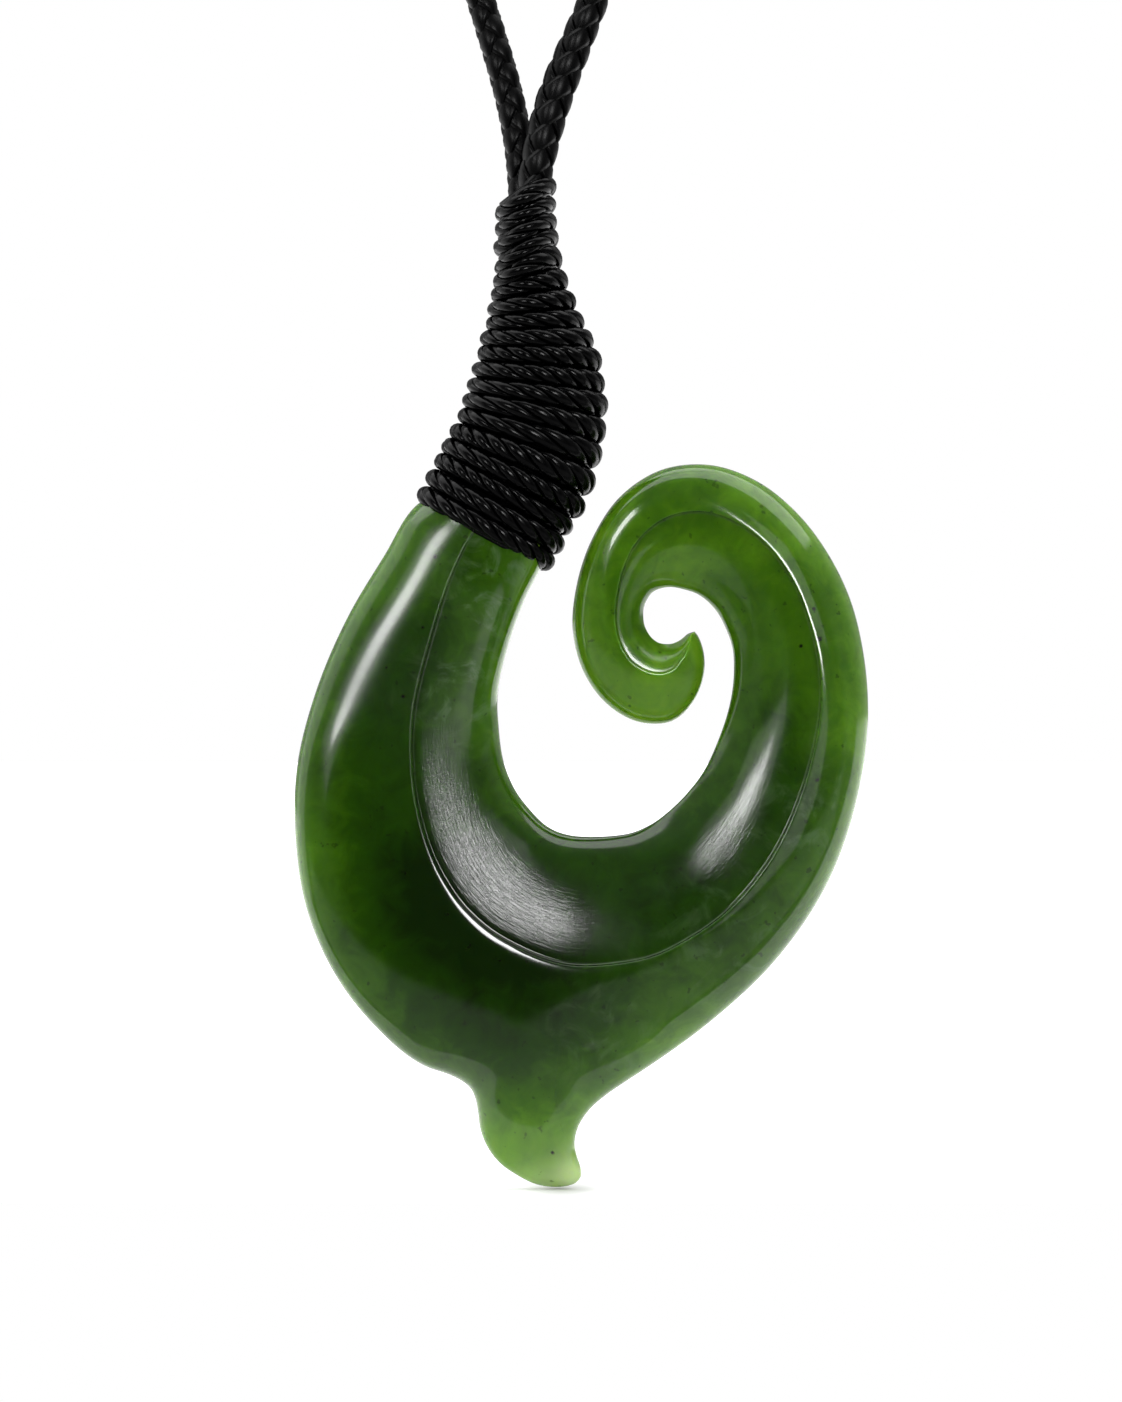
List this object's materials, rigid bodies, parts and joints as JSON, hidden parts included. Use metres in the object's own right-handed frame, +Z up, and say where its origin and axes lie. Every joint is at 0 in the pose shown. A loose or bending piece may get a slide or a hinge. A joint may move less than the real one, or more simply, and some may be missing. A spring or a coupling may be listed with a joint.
{
  "type": "fish hook pendant",
  "caption": "Carved green stone fish hook pendant with a curled point and a small fish tail, lashed to a plaited black neck cord.",
  "frame": {"origin": "where the cord loop bears on the nape of the neck, under the middle of the clasp", "axes": "+Z up along the body, the hook's carved face towards -Y, +X to the viewer's right"},
  "size_m": [0.1184, 0.1185, 0.2548],
  "materials": {
    "green_stone": "polished",
    "waxed_cord": "waxed, slightly glossy",
    "plaited_cord": "waxed, slightly glossy",
    "clasp_metal": "satin"
  },
  "bodies": {
    "root": {"jade_hook": "green_stone", "lashing": "waxed_cord", "neck_cord_left": "plaited_cord", "neck_cord_right": "plaited_cord", "clasp": "clasp_metal"}
  },
  "joints": []
}
